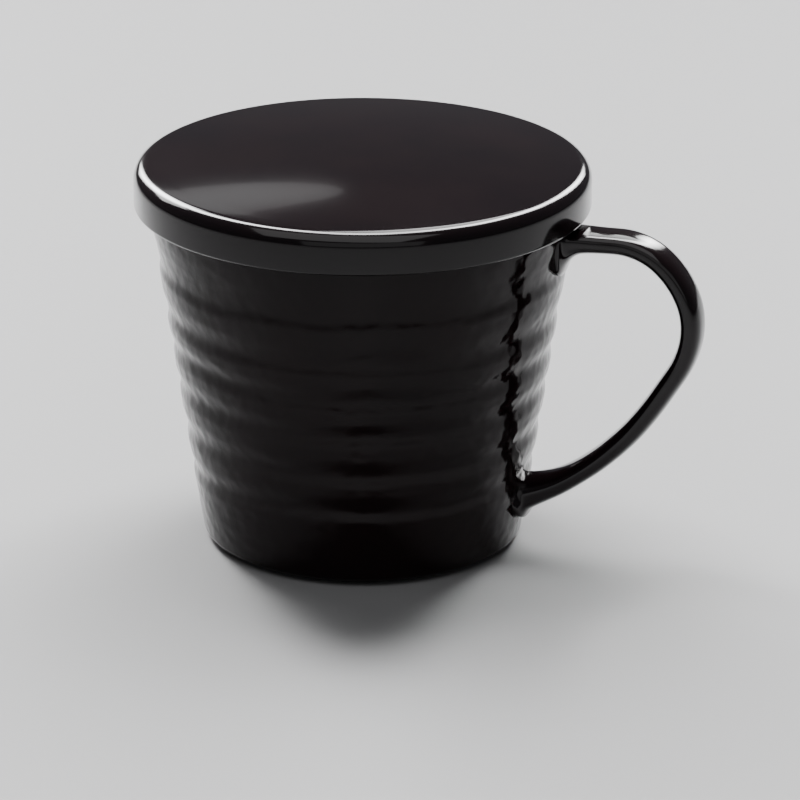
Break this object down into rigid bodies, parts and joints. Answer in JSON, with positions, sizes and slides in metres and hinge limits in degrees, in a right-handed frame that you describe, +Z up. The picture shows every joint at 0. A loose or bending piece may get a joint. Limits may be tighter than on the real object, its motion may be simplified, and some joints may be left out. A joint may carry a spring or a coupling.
{
  "type": "lidded lacquer mug",
  "caption": "Tapered lacquered mug with turned rings, a swept ear handle and a lift-off cap lid.",
  "frame": {"origin": "middle of the flat base, on the mug's turning axis", "axes": "+Z up along the mug's axis, +X from the axis towards the handle"},
  "size_m": [0.1218, 0.096, 0.085],
  "materials": {
    "body_lacquer": "polished dark red-brown lacquer with hand-cut rings",
    "handle_lacquer": "polished smooth dark red-brown lacquer",
    "lid_lacquer": "polished smooth dark red-brown lacquer"
  },
  "bodies": {
    "mug": {"mug_body": "body_lacquer", "handle": "handle_lacquer"},
    "lid": {"lid": "lid_lacquer"}
  },
  "joints": [
    {"name": "lid_lift", "type": "slide", "parent": "mug", "child": "lid", "axis": [0, 0, 1], "range_m": [0, 0.085]}
  ]
}
